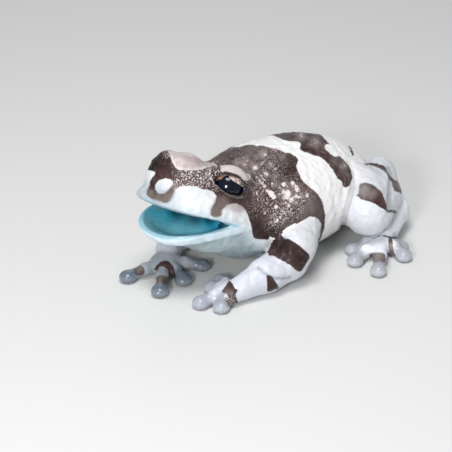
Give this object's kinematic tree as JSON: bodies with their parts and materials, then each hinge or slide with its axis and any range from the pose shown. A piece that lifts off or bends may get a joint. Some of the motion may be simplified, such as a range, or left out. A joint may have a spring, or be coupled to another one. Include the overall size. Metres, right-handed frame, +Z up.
{
  "type": "amazon milk frog",
  "caption": "Life-size still model of a banded tree frog crouched on folded legs, with its head raised and its mouth open.",
  "frame": {"origin": "middle of the bounding box in plan, on the floor the frog crouches on", "axes": "+X from the head towards the rump, so the frog faces -X; +Y towards the frog's right side; +Z up"},
  "size_m": [0.0622, 0.0506, 0.0281],
  "materials": {
    "skin": "moist satin skin, white with dark brown bands",
    "jaw_skin": "moist pale blue-white throat skin",
    "tongue_skin": "wet blue-green mouth lining",
    "eye": "wet gloss, near black"
  },
  "bodies": {
    "root": {"head": "skin", "lower_jaw": "jaw_skin", "tongue": "tongue_skin", "left_eye": "eye", "right_eye": "eye", "torso": "skin", "left_upper_arm": "skin", "right_upper_arm": "skin", "left_forearm": "skin", "right_forearm": "skin", "left_hand": "skin", "right_hand": "skin", "left_thigh": "skin", "right_thigh": "skin", "left_shank": "skin", "right_shank": "skin", "left_foot": "skin", "right_foot": "skin"}
  },
  "joints": []
}
